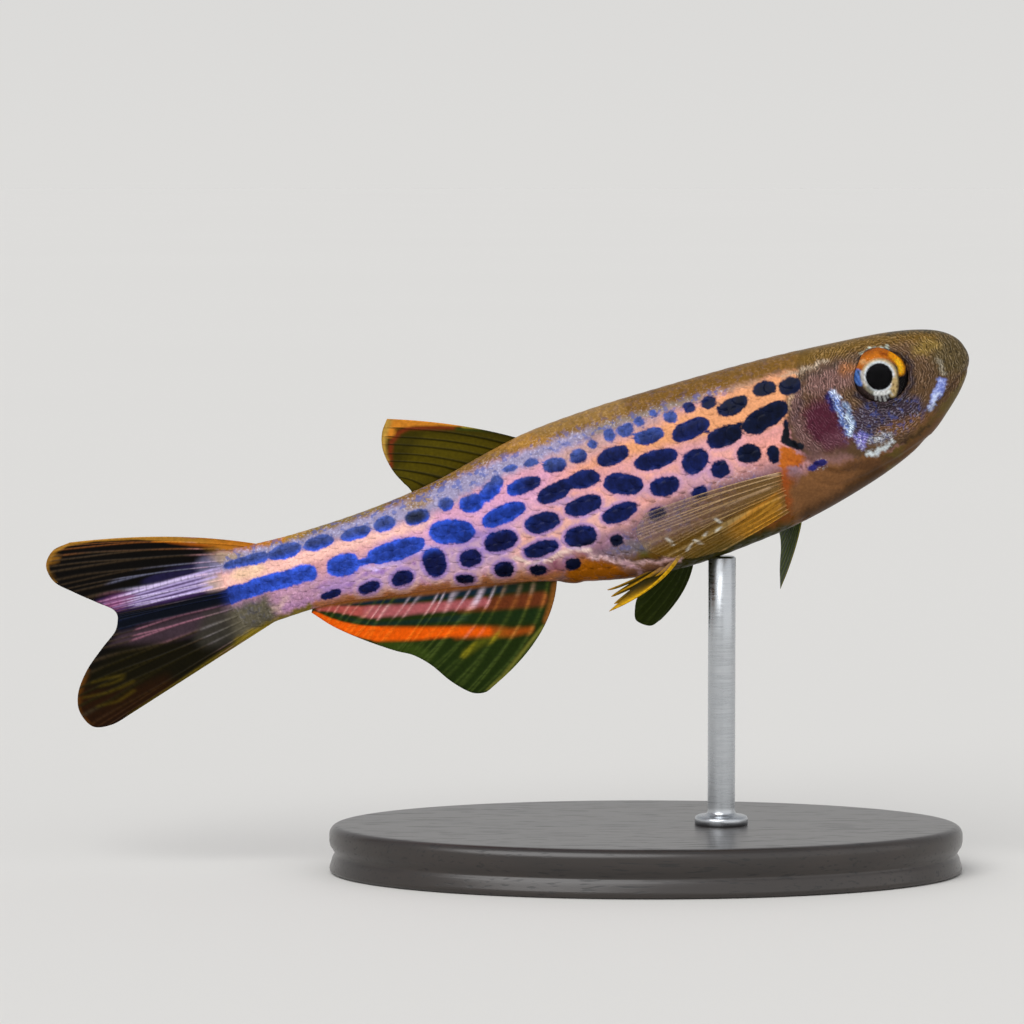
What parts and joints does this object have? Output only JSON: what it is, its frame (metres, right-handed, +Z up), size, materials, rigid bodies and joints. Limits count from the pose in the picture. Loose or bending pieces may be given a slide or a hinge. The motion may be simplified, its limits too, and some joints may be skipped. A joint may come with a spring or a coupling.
{
  "type": "spotted zebra danio",
  "caption": "Life-size still model of a small spotted, forked-tailed swimming fish with orange-banded fins, held nose-up on a flat oval stand by one rod.",
  "frame": {"origin": "middle of the stand's underside", "axes": "+X the way the fish faces, +Y to its left, +Z up"},
  "size_m": [0.054, 0.023, 0.0317],
  "materials": {
    "body_skin": "scaled skin, satin gloss",
    "head_skin": "bare skin, satin gloss",
    "gill_cover_skin": "iridescent bare skin",
    "eye": "wet gloss",
    "tail_fin": "rayed membrane",
    "olive_fin": "rayed membrane",
    "orange_fin": "rayed membrane",
    "gold_fin": "rayed membrane",
    "stand_wood": "ebonised, satin lacquer",
    "stand_steel": "brushed"
  },
  "bodies": {
    "root": {"head": "head_skin", "lower_jaw": "head_skin", "gill_cover_right": "gill_cover_skin", "gill_cover_left": "gill_cover_skin", "eye_right": "eye", "eye_left": "eye", "trunk": "body_skin", "tail_stem": "body_skin", "dorsal_fin": "olive_fin", "anal_fin": "orange_fin", "caudal_fin_upper": "tail_fin", "caudal_fin_lower": "tail_fin", "pectoral_fin_right": "gold_fin", "pectoral_fin_left": "gold_fin", "pelvic_fin_right": "olive_fin", "pelvic_fin_left": "olive_fin", "stand_base": "stand_wood", "stand_rod": "stand_steel"}
  },
  "joints": []
}
